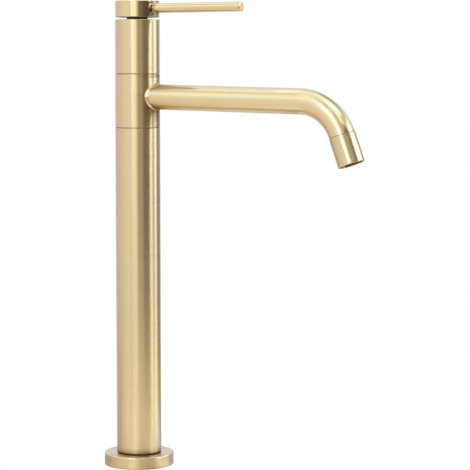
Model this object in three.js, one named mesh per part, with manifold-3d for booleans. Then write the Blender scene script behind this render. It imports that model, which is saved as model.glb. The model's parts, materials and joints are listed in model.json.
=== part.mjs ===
// Deck-mounted single-lever basin mixer with a swivelling spout.
// Millimetres, +Z up. The origin is on the column axis at the deck plane
// (the underside of the base flange). The spout and the lever point along +X.
import * as THREE from 'three';
import { mergeVertices } from 'three/addons/utils/BufferGeometryUtils.js';
import Module from 'manifold-3d';

const wasm = await Module();
wasm.setup();

// ---------------------------------------------------------------- dimensions
const FIT = 0.05;              // face gap between turned pieces that seat on each other
const GAP = 0.3;               // gap where one piece is cut to clear another

const COLUMN_R = 17.5;         // outside of column, hub and upper body
const COLUMN_BORE_R = 16.0;
const FLANGE_R = 27.25;
const FLANGE_H = 9.5;
const FLANGE_BORE_R = 13.8;
const EDGE = 0.9;              // rounding of the flange's top edge

const COLUMN_TOP = 265.8;      // lower column ends here
const HUB_BOTTOM = 266.3;
const HUB_TOP = 307.5;
const BODY_BOTTOM = 308.0;     // upper body that houses the cartridge
const BODY_TOP = 349.8;
const BODY_BORE_R = 15.8;
const CAP_BOTTOM = 351.6;
const CAP_TOP = 364.3;
const CAP_R = 17.35;
const CAP_WALL = 1.7;
const BOSS_R = 8.2;            // boss under the cap that takes the stem
const BOSS_BOTTOM = 346.0;

const SPINDLE_R = 12.4;        // the hub turns on this
const HUB_BORE_R = 12.6;

const SPOUT_Z = 290.3;         // spout axis at the column axis
const SPOUT_R = 9.8;
const SPOUT_BORE_R = 8.5;
const SPOUT_DROOP = 0.95 * Math.PI / 180;
const SPOUT_STRAIGHT = 146.6;  // from the column axis to the start of the bend
const BEND_R = 38.2;
const BEND_TURN = 68.6 * Math.PI / 180;
const AERATOR_R = 10.2;
const AERATOR_LENGTH = 22.8;

const LEVER_Z = 358.4;
const LEVER_R = 3.75;
const LEVER_END = 95.2;        // from the column axis to the lever's tip

const PIVOT_Z = 330.0;         // the handle tilts about this height
const BALL_Z = 325.4;          // stem's ball, which drives the moving disc

const DECK = 30.0;             // deck thickness between flange and clamp
const STUD_X = -8.0;
const STUD_R = 3.9;
const STUD_END = -58.0;
const PORT_X = 2.5;            // supply ports, hot at +Y and cold at -Y
const PORT_Y = 6.8;
const OUTLET_X = -6.0;         // mixed-water passage

const SWIVEL_LIMIT = 60;       // degrees each way, set by the stop pin
const STOP_Z = 273.4;

// ----------------------------------------------------------------- materials
const metal = (hex, rough) => new THREE.MeshStandardMaterial({ color: hex, roughness: rough, metalness: 1 });
const plain = (hex, rough) => new THREE.MeshStandardMaterial({ color: hex, roughness: rough, metalness: 0 });
const gold = () => metal(0xd9be8c, 0.28);        // brushed, PVD-coated brass
const brass = () => metal(0xc79a4b, 0.4);        // uncoated inner brass
const steel = () => metal(0xb4b6b8, 0.35);
const copper = () => metal(0xb9744a, 0.4);
const rubber = () => plain(0x17181a, 0.85);
const acetal = () => plain(0xe9e6dc, 0.5);
const housing = () => plain(0x2c2f33, 0.55);
const ceramic = () => plain(0xf1ede4, 0.25);

// ------------------------------------------------------------------- helpers
function toSolid(geometry) {
  const g = geometry.clone();
  g.deleteAttribute('normal');
  g.deleteAttribute('uv');
  const m = mergeVertices(g, 1e-4);
  const pos = m.getAttribute('position').array;
  const src = m.index.array;
  const tri = [];
  for (let i = 0; i < src.length; i += 3) {
    const [a, b, c] = [src[i], src[i + 1], src[i + 2]];
    if (a !== b && b !== c && a !== c) tri.push(a, b, c);
  }
  let volume = 0;
  const p = (k) => [pos[3 * k], pos[3 * k + 1], pos[3 * k + 2]];
  for (let i = 0; i < tri.length; i += 3) {
    const [a, b, c] = [p(tri[i]), p(tri[i + 1]), p(tri[i + 2])];
    volume += a[0] * (b[1] * c[2] - b[2] * c[1]) - a[1] * (b[0] * c[2] - b[2] * c[0]) + a[2] * (b[0] * c[1] - b[1] * c[0]);
  }
  if (volume < 0) for (let i = 0; i < tri.length; i += 3) [tri[i + 1], tri[i + 2]] = [tri[i + 2], tri[i + 1]];
  return new wasm.Manifold(new wasm.Mesh({
    numProp: 3, vertProperties: new Float32Array(pos), triVerts: new Uint32Array(tri),
  }));
}

function toGeometry(solid) {
  const mesh = solid.getMesh();
  const g = new THREE.BufferGeometry();
  g.setAttribute('position', new THREE.BufferAttribute(new Float32Array(mesh.vertProperties), 3));
  g.setIndex(new THREE.BufferAttribute(new Uint32Array(mesh.triVerts), 1));
  g.computeVertexNormals();
  return g;
}

function piece(parent, name, solid, material) {
  const mesh = new THREE.Mesh(toGeometry(solid), material);
  mesh.name = name;
  parent.add(mesh);
  return mesh;
}

// A turned piece about Z. Points are [radius, z]. The profile either starts
// and ends on the axis or is closed here on itself.
function turned(points, sides = 36) {
  const list = points.map(([r, z]) => new THREE.Vector2(r, z));
  const [first, last] = [points[0], points[points.length - 1]];
  if (first[0] !== 0 || last[0] !== 0) list.push(new THREE.Vector2(...first));
  return toSolid(new THREE.LatheGeometry(list, sides).rotateX(Math.PI / 2));
}

const ring = (rIn, rOut, z0, z1, sides = 36) => turned([[rIn, z0], [rOut, z0], [rOut, z1], [rIn, z1]], sides);
const disc = (r, z0, z1, sides = 24) => turned([[0, z0], [r, z0], [r, z1], [0, z1]], sides);

// O-ring with a six-sided section that lies flat on the deck or stands flat
// against a bore.
function oRing(rMid, z, r, lies = false) {
  const pts = [];
  for (let i = 0; i < 6; i++) {
    const a = (i + (lies ? 0 : 0.5)) * Math.PI / 3;
    const d = r / Math.cos(Math.PI / 6);
    pts.push([rMid + d * Math.cos(a), z + d * Math.sin(a)]);
  }
  return turned(pts, 36);
}

// Straight round bar between two points.
function bar(from, to, r, sides = 20) {
  const a = new THREE.Vector3(...from);
  const b = new THREE.Vector3(...to);
  const g = new THREE.CylinderGeometry(r, r, a.distanceTo(b), sides);
  const q = new THREE.Quaternion().setFromUnitVectors(new THREE.Vector3(0, 1, 0), b.clone().sub(a).normalize());
  g.applyQuaternion(q);
  g.translate((a.x + b.x) / 2, (a.y + b.y) / 2, (a.z + b.z) / 2);
  return toSolid(g);
}

const upright = (x, y, z0, z1, r, sides = 16) => bar([x, y, z0], [x, y, z1], r, sides);

function block(x0, x1, y0, y1, z0, z1) {
  const g = new THREE.BoxGeometry(x1 - x0, y1 - y0, z1 - z0);
  g.translate((x0 + x1) / 2, (y0 + y1) / 2, (z0 + z1) / 2);
  return toSolid(g);
}

function prism(shape, z0, z1, curveSegments = 12) {
  const g = new THREE.ExtrudeGeometry(shape, { depth: z1 - z0, bevelEnabled: false, curveSegments });
  g.translate(0, 0, z0);
  return toSolid(g);
}

// Part of a ring between two angles, in degrees.
function sector(rIn, rOut, z0, z1, from, to) {
  const s = new THREE.Shape();
  const [a, b] = [from * Math.PI / 180, to * Math.PI / 180];
  s.absarc(0, 0, rOut, a, b, false);
  s.absarc(0, 0, rIn, b, a, true);
  s.closePath();
  return prism(s, z0, z1, 8);
}

// Centre line of the spout: one straight run, then one bend. The stations of
// the sweep fall on the ends of the straight run and evenly along the bend.
class SpoutPath extends THREE.Curve {
  constructor(start, bends) {
    super();
    this.start = start;
    this.bends = bends;
  }
  getUtoTmapping(u) { return u; }
  getPoint(t, target = new THREE.Vector3()) {
    const first = 1 / (this.bends + 1);
    const along = (d) => target.set(d * Math.cos(SPOUT_DROOP), 0, SPOUT_Z - d * Math.sin(SPOUT_DROOP));
    if (t <= first) return along(this.start + (SPOUT_STRAIGHT - this.start) * (t / first));
    const turn = BEND_TURN * (t - first) / (1 - first);
    const a = SPOUT_DROOP + turn;
    along(SPOUT_STRAIGHT);
    const cx = target.x - BEND_R * Math.sin(SPOUT_DROOP);
    const cz = target.z - BEND_R * Math.cos(SPOUT_DROOP);
    return target.set(cx + BEND_R * Math.sin(a), 0, cz + BEND_R * Math.cos(a));
  }
}

function circle(r, hole = 0) {
  const s = new THREE.Shape();
  s.absarc(0, 0, r, 0, Math.PI * 2, false);
  if (hole) {
    const h = new THREE.Path();
    h.absarc(0, 0, hole, 0, Math.PI * 2, true);
    s.holes.push(h);
  }
  return s;
}

const cut = (solid, ...tools) => tools.reduce((s, t) => s.subtract(t), solid);

// --------------------------------------------------------------------- scene
const faucet = new THREE.Group();

// ---- base: flange, deck seal and the plug that carries column and stud
piece(faucet, 'base_flange', turned([
  [FLANGE_BORE_R, 0], [20.6, 0], [20.6, 2.6], [23.8, 2.6], [23.8, 0],
  [FLANGE_R - 0.3, 0], [FLANGE_R, 0.3], [FLANGE_R, FLANGE_H - EDGE],
  [FLANGE_R - EDGE * 0.29, FLANGE_H - EDGE * 0.29], [FLANGE_R - EDGE, FLANGE_H],
  [FLANGE_BORE_R, FLANGE_H],
], 48), gold());

piece(faucet, 'deck_seal', oRing(22.2, 1.25, 1.2, true), rubber());

piece(faucet, 'base_plug', cut(
  turned([[0, 0], [13.5, 0], [13.5, FLANGE_H + GAP], [15.7, FLANGE_H + GAP], [15.7, 20], [0, 20]], 16),
  upright(PORT_X, PORT_Y, -1, 21, 4.7, 8),
  upright(PORT_X, -PORT_Y, -1, 21, 4.7, 8),
  upright(STUD_X, 0, -1, 16, 4.4, 8),
), brass());

// ---- column and the supply tubes inside it
piece(faucet, 'column_tube', turned([
  [COLUMN_BORE_R, FLANGE_H + FIT], [COLUMN_R - 0.2, FLANGE_H + FIT], [COLUMN_R, FLANGE_H + FIT + 0.2],
  [COLUMN_R, COLUMN_TOP - 0.3], [COLUMN_R - 0.3, COLUMN_TOP], [COLUMN_BORE_R, COLUMN_TOP],
]), gold());

for (const [name, side] of [['hot_supply_tube', 1], ['cold_supply_tube', -1]]) {
  piece(faucet, name, cut(
    upright(PORT_X, side * PORT_Y, 12.4, 252, 4.0),
    upright(PORT_X, side * PORT_Y, 10, 254, 3.0),
  ), copper());
}

// ---- valve core: fixed in the column, spindle for the hub, seat for the cartridge
const CORE_BOTTOM = 238;
const SHOULDER = COLUMN_TOP + 0.1;
const SEAT = 315.0;
piece(faucet, 'valve_core', cut(
  turned([
    [0, CORE_BOTTOM], [15.8, CORE_BOTTOM], [15.8, SHOULDER], [SPINDLE_R, SHOULDER],
    [SPINDLE_R, 280.4], [10.6, 280.4], [10.6, 282.8], [SPINDLE_R, 282.8],
    [SPINDLE_R, 284.9], [10.9, 284.9], [10.9, 295.9], [SPINDLE_R, 295.9],
    [SPINDLE_R, 298.4], [10.6, 298.4], [10.6, 300.8], [SPINDLE_R, 300.8],
    [SPINDLE_R, 306.0], [10.4, 306.0], [10.4, SEAT], [0, SEAT],
  ]),
  upright(PORT_X, PORT_Y, CORE_BOTTOM - 1, 254, 4.3), upright(PORT_X, PORT_Y, 253, SEAT + 1, 2.3, 12),
  upright(PORT_X, -PORT_Y, CORE_BOTTOM - 1, 254, 4.3), upright(PORT_X, -PORT_Y, 253, SEAT + 1, 2.3, 12),
  upright(OUTLET_X, 0, 287.5, SEAT + 1, 2.6, 12),
  bar([OUTLET_X, 0, 290.4], [-13, 0, 290.4], 2.6, 12),
  bar([-9, 0, STOP_Z], [-14, 0, STOP_Z], 1.6, 12),
), brass());

piece(faucet, 'lower_spout_seal', oRing(11.6, 281.6, 0.85), rubber());
piece(faucet, 'upper_spout_seal', oRing(11.6, 299.6, 0.85), rubber());
piece(faucet, 'lower_slide_ring', ring(12.65, 15.2, SHOULDER + FIT, SHOULDER + 1.8), acetal());
piece(faucet, 'upper_slide_ring', ring(12.65, 15.2, BODY_BOTTOM - 1.8, BODY_BOTTOM - FIT), acetal());
piece(faucet, 'swivel_stop_pin', bar([-9.3, 0, STOP_Z], [-14.2, 0, STOP_Z], 1.3, 12), steel());

// ---- upper body and the fixed half of the ceramic cartridge
piece(faucet, 'upper_body', turned([
  [10.7, BODY_BOTTOM], [COLUMN_R - 0.3, BODY_BOTTOM], [COLUMN_R, BODY_BOTTOM + 0.3],
  [COLUMN_R, BODY_TOP - 0.6], [COLUMN_R - 0.6, BODY_TOP], [BODY_BORE_R, BODY_TOP],
  [BODY_BORE_R, 334.5], [12.9, 334.5], [12.9, SEAT - 0.2], [10.7, SEAT - 0.2],
]), gold());

const ports = (z0, z1, r) => [
  upright(PORT_X, PORT_Y, z0, z1, r, 12), upright(PORT_X, -PORT_Y, z0, z1, r, 12), upright(OUTLET_X, 0, z0, z1, r, 12),
];
piece(faucet, 'port_gasket', cut(disc(9.9, SEAT + FIT, SEAT + 1.1), ...ports(SEAT - 1, SEAT + 2, 2.1)), rubber());
piece(faucet, 'cartridge_base', cut(disc(10.5, SEAT + 1.2, SEAT + 3.1), ...ports(SEAT, SEAT + 4, 2.0)), housing());
piece(faucet, 'fixed_disc', cut(disc(10.4, SEAT + 3.2, SEAT + 5.7), ...ports(SEAT + 2, SEAT + 7, 1.9)), ceramic());
piece(faucet, 'cartridge_housing', turned([
  [10.75, SEAT + 1.2], [12.6, SEAT + 1.2], [12.6, 335.6], [9.3, 335.6], [9.3, 338.6],
  [7.9, 338.6], [7.9, 333.4], [10.75, 333.4],
], 24), housing());
piece(faucet, 'retaining_nut', cut(
  ring(9.6, 15.5, 335.7, 340.6),
  ...[0, 60, 120].map((deg) => {
    const g = new THREE.BoxGeometry(40, 3, 2);
    g.rotateZ(deg * Math.PI / 180 + Math.PI / 6);
    g.translate(0, 0, 340.6);
    return toSolid(g);
  }),
), brass());

// ---- spout: hub, tube and aerator
const spout = new THREE.Group();
faucet.add(spout);

const spoutStart = new THREE.Vector3(4 * Math.cos(SPOUT_DROOP), 0, SPOUT_Z - 4 * Math.sin(SPOUT_DROOP));
const spoutOut = new THREE.Vector3(30 * Math.cos(SPOUT_DROOP), 0, SPOUT_Z - 30 * Math.sin(SPOUT_DROOP));
piece(spout, 'spout_hub', cut(
  turned([
    [HUB_BORE_R, HUB_BOTTOM + 1.7], [15.5, HUB_BOTTOM + 1.7], [15.5, HUB_BOTTOM],
    [COLUMN_R - 0.3, HUB_BOTTOM], [COLUMN_R, HUB_BOTTOM + 0.3],
    [COLUMN_R, HUB_TOP - 0.3], [COLUMN_R - 0.3, HUB_TOP],
    [15.5, HUB_TOP], [15.5, HUB_TOP - 1.7], [HUB_BORE_R, HUB_TOP - 1.7],
  ]),
  bar(spoutStart.toArray(), spoutOut.toArray(), SPOUT_R + GAP, 32),
  sector(12.0, 14.7, STOP_Z - 1.7, STOP_Z + 1.7, 180 - SWIVEL_LIMIT - 7, 180 + SWIVEL_LIMIT + 7),
), gold());

const tube = toSolid(new THREE.ExtrudeGeometry(circle(SPOUT_R, SPOUT_BORE_R), {
  steps: 13, curveSegments: 14, bevelEnabled: false, extrudePath: new SpoutPath(5, 12),
}));
piece(spout, 'spout_tube', cut(tube, disc(HUB_BORE_R + 0.3, 260, 320)), gold());

const tip = new THREE.Group();
const end = new SpoutPath(5, 12).getPoint(1);
tip.position.copy(end);
tip.rotation.y = -(Math.PI / 2 - SPOUT_DROOP - BEND_TURN);
spout.add(tip);

// The aerator stands on the tube's end; its own axis runs down from there.
const T = AERATOR_LENGTH;
piece(tip, 'aerator_housing', turned([
  [7.0, 2.8], [8.0, 2.8], [8.0, -GAP], [AERATOR_R - 0.2, -GAP], [AERATOR_R, -GAP - 0.2],
  [AERATOR_R, -T + 0.5], [AERATOR_R - 0.5, -T], [9.2, -T], [9.2, -3.2], [7.0, -3.2],
], 32), gold());
piece(tip, 'aerator_seal', ring(6.6, 8.7, -5.3, -3.5, 24), rubber());
piece(tip, 'aerator_screen', turned([[0, -6.9], [8.6, -6.9], [8.6, -5.6], [7.6, -5.6], [0, -6.3]], 24), steel());
piece(tip, 'aerator_insert', turned([
  [0, -T + 1.6], [7.4, -T + 1.6], [7.4, -T + 0.7], [8.7, -T + 0.7], [8.7, -7.2], [0, -7.2],
], 24), housing());

// ---- temperature turret: the carrier and its pin turn inside the cartridge
const turret = new THREE.Group();
faucet.add(turret);
piece(turret, 'cartridge_carrier', cut(
  turned([[0, 327.1], [10.5, 327.1], [10.5, 333.1], [7.6, 333.1], [7.6, 338.4], [0, 338.4]], 24),
  block(-6.4, 4.4, -2.8, 2.8, 320, 345),
  bar([0, -12, PIVOT_Z], [0, 12, PIVOT_Z], 1.35, 16),
), acetal());
piece(turret, 'pivot_pin', bar([0, -9.6, PIVOT_Z], [0, 9.6, PIVOT_Z], 1.2, 16), steel());

// ---- moving ceramic disc and the driver that sits on it
const slider = new THREE.Group();
faucet.add(slider);
const DISC_X = -0.8;
const shift = (solid, x) => solid.translate([x, 0, 0]);
piece(slider, 'moving_disc', cut(
  shift(disc(9.0, SEAT + 5.8, SEAT + 8.3), DISC_X),
  shift(disc(4.4, SEAT + 5, SEAT + 7.2, 16), -3.9),
), ceramic());
piece(slider, 'disc_driver', cut(
  shift(disc(8.6, SEAT + 8.4, SEAT + 11.7), DISC_X),
  block(-2.1, 2.1, -2.9, 2.9, SEAT + 8, SEAT + 13),
), acetal());

// ---- handle: stem, cap, lever pin and set screw
const handle = new THREE.Group();
faucet.add(handle);

const ball = toSolid(new THREE.SphereGeometry(1.9, 12, 8).rotateX(Math.PI / 2).translate(0, 0, BALL_Z));
piece(handle, 'stem', cut(
  block(-1.4, 1.4, -2.4, 2.4, BALL_Z, 328.2)
    .add(ball)
    .add(block(-2.9, 2.9, -2.45, 2.45, 328.0, 340))
    .add(block(-2.9, 2.9, -2.9, 2.9, 340, 357.6)),
  bar([0, -5, PIVOT_Z], [0, 5, PIVOT_Z], 1.33, 16),
), brass());

piece(handle, 'handle_cap', cut(
  turned([
    [0, BOSS_BOTTOM], [BOSS_R - 0.4, BOSS_BOTTOM], [BOSS_R, BOSS_BOTTOM + 0.4], [BOSS_R, 359.4],
    [CAP_R - CAP_WALL, 359.4], [CAP_R - CAP_WALL, CAP_BOTTOM], [CAP_R - 0.3, CAP_BOTTOM], [CAP_R, CAP_BOTTOM + 0.3],
    [CAP_R, CAP_TOP - 0.5], [CAP_R - 0.5, CAP_TOP], [0, CAP_TOP],
  ]),
  block(-3.2, 3.2, -3.2, 3.2, 340, 357.9),
  bar([0, 0, LEVER_Z], [20, 0, LEVER_Z], 3.1 + GAP, 24),
  bar([14.5, 0, LEVER_Z], [20, 0, LEVER_Z], LEVER_R + 0.25, 24),
  bar([-20, 0, 353.4], [-3, 0, 353.4], 2.2, 12),
), gold());

const lever = new THREE.LatheGeometry([
  [0, 3.4], [3.1, 3.4], [3.1, 14.8], [LEVER_R, 14.8], [LEVER_R, LEVER_END - 1.0],
  [LEVER_R - 0.3, LEVER_END - 0.3], [LEVER_R - 1.0, LEVER_END], [0, LEVER_END],
].map(([r, x]) => new THREE.Vector2(r, x)), 24).rotateZ(-Math.PI / 2).translate(0, 0, LEVER_Z);
piece(handle, 'lever_pin', toSolid(lever), gold());

piece(handle, 'handle_set_screw', cut(
  bar([-7.8, 0, 353.4], [-3.25, 0, 353.4], 1.95, 12),
  bar([-9, 0, 353.4], [-6, 0, 353.4], 1.15, 6),
), steel());

// ---- fixings under the deck
const hose = 13.4;                       // half width of the opening for the hoses
function horseshoe(r) {
  const s = new THREE.Shape();
  const tipAngle = Math.asin(hose / r);
  s.absarc(0, 0, r, tipAngle, Math.PI * 2 - tipAngle, false);
  s.lineTo(-2.4, -hose);
  s.lineTo(-2.4, hose);
  s.closePath();
  const h = new THREE.Path();
  h.absarc(STUD_X, 0, 4.3, 0, Math.PI * 2, true);
  s.holes.push(h);
  return s;
}
piece(faucet, 'fixing_stud', upright(STUD_X, 0, STUD_END, 15, STUD_R, 20), steel());
piece(faucet, 'clamp_gasket', prism(horseshoe(24), -DECK - 3, -DECK, 10), rubber());
piece(faucet, 'clamp_washer', prism(horseshoe(23.5), -DECK - 5.1, -DECK - 3.1, 10), steel());
piece(faucet, 'fixing_nut', cut(
  upright(STUD_X, 0, -DECK - 11.7, -DECK - 5.2, 6.5 / Math.cos(Math.PI / 6), 6),
  upright(STUD_X, 0, -DECK - 13, -DECK - 4, 4.15, 20),
), brass());

export default faucet;
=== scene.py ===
import json
import math

import bmesh
import bpy
import numpy as np
from mathutils import Matrix, Vector
from mathutils.geometry import tessellate_polygon


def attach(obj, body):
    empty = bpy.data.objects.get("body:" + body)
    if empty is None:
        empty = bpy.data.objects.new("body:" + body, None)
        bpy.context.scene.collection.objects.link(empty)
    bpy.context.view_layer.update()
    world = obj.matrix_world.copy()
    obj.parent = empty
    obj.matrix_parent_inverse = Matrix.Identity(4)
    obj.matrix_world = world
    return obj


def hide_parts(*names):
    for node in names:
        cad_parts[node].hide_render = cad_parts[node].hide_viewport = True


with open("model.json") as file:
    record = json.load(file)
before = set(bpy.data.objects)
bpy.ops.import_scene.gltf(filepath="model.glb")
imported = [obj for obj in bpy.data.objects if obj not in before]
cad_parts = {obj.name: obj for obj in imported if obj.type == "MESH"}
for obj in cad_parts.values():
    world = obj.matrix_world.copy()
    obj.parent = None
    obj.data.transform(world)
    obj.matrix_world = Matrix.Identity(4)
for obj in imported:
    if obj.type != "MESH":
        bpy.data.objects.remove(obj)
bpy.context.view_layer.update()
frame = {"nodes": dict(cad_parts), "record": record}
NODES = frame["nodes"]
MM = 0.001
TAU = 2 * math.pi

# ------------------------------------------------------------------ sizes, mm
# The same numbers as the CAD part.
COLUMN_R, COLUMN_BORE_R = 17.5, 16.0
FLANGE_R, FLANGE_H, FLANGE_BORE_R = 27.25, 9.5, 13.8
COLUMN_TOP = 265.8
HUB_BOTTOM, HUB_TOP = 266.3, 307.5
BODY_BOTTOM, BODY_TOP, BODY_BORE_R = 308.0, 349.8, 15.8
CAP_BOTTOM, CAP_TOP, CAP_R, CAP_WALL = 351.6, 364.3, 17.35, 1.7
BOSS_R, BOSS_BOTTOM = 8.2, 346.0
SPOUT_Z, SPOUT_R, SPOUT_BORE_R = 290.3, 9.8, 8.5
DROOP = math.radians(0.95)
SPOUT_STRAIGHT, BEND_R, BEND_TURN = 146.6, 38.2, math.radians(68.6)
AERATOR_R, AERATOR_LENGTH = 10.2, 22.8
LEVER_Z, LEVER_R, LEVER_END = 358.4, 3.75, 95.2
DECK = 30.0
STUD_X, STUD_R, STUD_END = -8.0, 3.9, -58.0

scene = bpy.context.scene
scene.view_settings.view_transform = "Standard"
scene.view_settings.look = "None"
scene.view_settings.exposure = 0.0
scene.view_settings.gamma = 1.0


# ---------------------------------------------------------------- light levels
# (degrees to the right of the front, brightness, tint) for bands of height
N_, C_, W_, T_ = (1, 1, 1), (1, 1.05, 1.16), (1, 0.95, 0.88), (1, 0.82, 0.70)
P_, Q_, D_ = (1, 0.915, 1.05), (1, 0.96, 1.0), (1, 0.90, 0.88)
L_, B_, E_ = (1, 1.10, 1.24), (1, 1.11, 1.45), (1, 1.06, 1.30)
FLOOR_R = 600
STUDIO = 1.286                   # all the levels below are for the coat at this brightness
NEAR_PANELS = [(-180, 0.42, (1, 0.90, 0.88)), (-111, 0.43, (1, 0.88, 1.00)), (-94, 0.41, (1, 0.95, 1.17)),
               (-86, 0.46, (1, 0.90, 1.03)), (-77, 0.48, (1, 0.84, 0.88)), (-69, 0.58, (1, 0.83, 0.84)),
               (-60, 0.60, (1, 0.84, 0.81)), (-51, 0.63, (1, 0.85, 0.77)), (-43, 0.69, (1, 0.87, 0.75)),
               (-34, 0.71, (1, 0.88, 0.77)), (-24, 0.71, (1, 0.91, 0.83)), (-17, 0.72, (1, 0.94, 0.87)),
               (-8, 0.72, (1, 0.94, 0.87)), (0, 0.65, (1, 0.93, 0.88)), (9, 0.54, (1, 0.93, 0.90)),
               (17, 0.49, (1, 0.94, 0.90)), (26, 0.48, (1, 0.93, 0.89)), (34, 0.55, (1, 0.92, 0.88)),
               (43, 0.63, (1, 0.93, 0.90)), (52, 0.80, (1, 0.93, 0.95)), (60, 0.76, (1, 0.92, 0.95)),
               (69, 0.77, (1, 0.99, 1.06)), (77, 0.70, (1, 0.99, 1.04)), (86, 0.58, (1, 0.92, 0.94)),
               (94, 0.48, (1, 0.88, 0.96)), (103, 0.47, (1, 0.90, 1.06)), (119, 0.52, (1, 0.98, 1.04)),
               (150, 0.45, (1, 1.00, 1.00)), (180, 0.42, (1, 0.90, 0.88))]
MIDDLE_PANELS = [(-180, 0.77, (1, 1.01, 1.09)), (-150, 0.53, (1, 0.96, 0.95)), (-120, 0.47, (1, 0.94, 1.10)),
                 (-100, 0.48, (1, 0.92, 0.91)), (-88, 0.70, (1, 0.90, 0.85)), (-70, 0.74, (1, 0.94, 0.88)),
                 (-50, 0.88, (1, 0.97, 0.96)), (-25, 0.76, (1, 0.99, 0.94)), (0, 0.88, (1, 0.97, 0.97)),
                 (20, 0.95, (1, 0.90, 0.86)), (50, 0.87, (1, 0.93, 0.88)), (66, 0.80, (1, 0.97, 0.99)),
                 (80, 0.89, (1, 0.98, 1.11)), (105, 1.04, (1, 1.01, 1.25)), (118, 0.71, (1, 1.01, 1.18)),
                 (130, 0.66, (1, 1.07, 1.36)), (150, 0.31, (1, 1.08, 1.25)), (180, 0.77, (1, 1.01, 1.09))]
FLOOR_PANELS = [(-180, 0.67, (1, 0.90, 0.97)), (-150, 0.57, (1, 0.97, 1.18)), (-120, 0.50, (1, 0.95, 1.00)),
                (-100, 0.61, (1, 0.87, 0.81)), (-88, 0.67, (1, 0.84, 0.78)), (-70, 0.75, (1, 0.91, 0.89)),
                (-50, 0.79, (1, 0.94, 0.88)), (-25, 0.62, (1, 0.89, 0.62)), (0, 0.85, (1, 0.92, 0.84)),
                (30, 0.70, (1, 0.91, 0.92)), (50, 0.68, (1, 0.87, 0.72)), (66, 0.68, (1, 0.88, 0.65)),
                (80, 1.04, (1, 0.97, 0.81)), (105, 1.01, (1, 0.98, 0.88)), (116, 0.77, (1, 0.90, 0.72)),
                (130, 0.47, (1, 0.86, 0.59)), (150, 0.46, (1, 0.89, 0.83)), (180, 0.67, (1, 0.90, 0.97))]
LOW_PANELS = [(-180, 0.62, (1, 1.00, 1.00)), (-152, 0.61, (1, 0.93, 0.92)), (-140, 0.54, (1, 1.00, 1.18)),
              (-128, 0.62, (1, 0.94, 1.10)), (-120, 0.65, (1, 0.89, 0.99)), (-104, 0.70, (1, 0.89, 0.93)),
              (-88, 0.75, (1, 0.91, 0.89)), (-72, 0.74, (1, 0.95, 0.92)), (-56, 0.77, (1, 0.97, 1.10)),
              (-39, 0.81, (1, 0.97, 0.97)), (-36, 0.62, (1, 0.98, 0.91)), (-28, 0.34, (1, 1.01, 0.89)),
              (-24, 0.29, (1, 1.03, 0.90)), (-5, 0.64, (1, 0.94, 0.87)), (0, 0.41, (1, 0.93, 0.85)),
              (6, 0.33, (1, 0.92, 0.85)), (24, 0.36, (1, 0.88, 0.81)), (32, 0.14, (1, 0.83, 0.76)),
              (37, 0.06, (1, 0.78, 0.74)), (60, 0.06, (1, 0.90, 0.85)), (66, 0.10, (1, 0.93, 0.97)),
              (69, 0.40, (1, 0.98, 1.10)), (80, 0.97, (1, 1.01, 1.13)), (84, 0.48, (1, 0.98, 0.97)),
              (93, 0.23, (1, 0.96, 0.92)), (98, 0.58, (1, 0.97, 1.03)), (110, 0.94, (1, 0.96, 1.14)),
              (115, 0.52, (1, 0.92, 1.05)), (122, 0.22, (1, 0.87, 0.92)), (142, 0.25, (1, 0.95, 1.09)),
              (156, 0.44, (1, 0.99, 1.03)), (180, 0.62, (1, 1.00, 1.00))]
HIGH_PANELS = [(-180, 0.83, (1, 1.05, 1.15)), (-152, 0.84, (1, 1.03, 1.28)), (-138, 0.64, (1, 1.09, 1.56)),
               (-128, 0.53, (1, 1.00, 1.40)), (-120, 0.66, (1, 0.88, 1.20)), (-104, 0.62, (1, 0.85, 1.07)),
               (-88, 0.55, (1, 0.91, 1.09)), (-72, 0.72, (1, 1.00, 1.19)), (-56, 0.72, (1, 1.03, 1.19)),
               (-41, 0.67, (1, 1.08, 1.37)), (-36, 0.47, (1, 1.05, 1.32)), (-31, 1.36, (1, 1.05, 1.27)),
               (-28, 3.67, (1, 1.06, 1.25)), (-7, 2.29, (1, 1.02, 1.06)), (-2, 1.07, (1, 0.96, 0.92)),
               (6, 0.45, (1, 0.88, 0.79)), (24, 0.95, (1, 0.85, 0.73)), (32, 0.70, (1, 0.88, 0.74)),
               (37, 0.65, (1, 0.85, 0.73)), (60, 0.85, (1, 0.92, 0.87)), (64, 4.01, (1, 0.96, 0.97)),
               (67, 4.82, (1, 1.01, 1.02)), (81, 4.97, (1, 1.02, 1.06)), (84, 1.59, (1, 1.05, 1.17)),
               (93, 2.48, (1, 1.04, 1.19)), (96, 4.07, (1, 1.07, 1.23)), (112, 3.44, (1, 1.14, 1.47)),
               (116, 1.30, (1, 1.12, 1.62)), (121, 0.22, (1, 1.12, 1.64)), (142, 0.09, (1, 1.09, 1.53)),
               (155, 0.37, (1, 0.97, 0.89)), (180, 0.83, (1, 1.05, 1.15))]
STRIP_PANELS = [(-180, 0.84, (1, 1.05, 1.16)), (-152, 0.87, (1, 0.97, 1.11)), (-128, 0.62, (1, 1.07, 1.31)),
                (-104, 0.73, (1, 0.97, 1.02)), (-88, 0.79, (1, 0.94, 0.99)), (-56, 0.87, (1, 1.00, 0.86)),
                (-36, 0.79, (1, 1.01, 0.96)), (-28, 1.20, (1, 1.03, 1.09)), (-6, 1.14, (1, 1.04, 1.12)),
                (0, 0.76, (1, 0.97, 0.93)), (6, 0.47, (1, 0.91, 0.74)), (12, 0.16, (1, 0.84, 0.65)),
                (64, 0.04, (1, 0.86, 0.73)), (70, 0.03, (1, 0.94, 0.90)), (88, 0.09, (1, 0.91, 0.84)),
                (96, 0.43, (1, 1.00, 1.07)), (106, 0.97, (1, 1.06, 1.28)), (114, 0.92, (1, 1.00, 1.18)),
                (124, 0.49, (1, 0.93, 0.96)), (142, 0.54, (1, 0.97, 1.14)), (155, 0.70, (1, 1.00, 1.07)),
                (180, 0.84, (1, 1.05, 1.16))]
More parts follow.
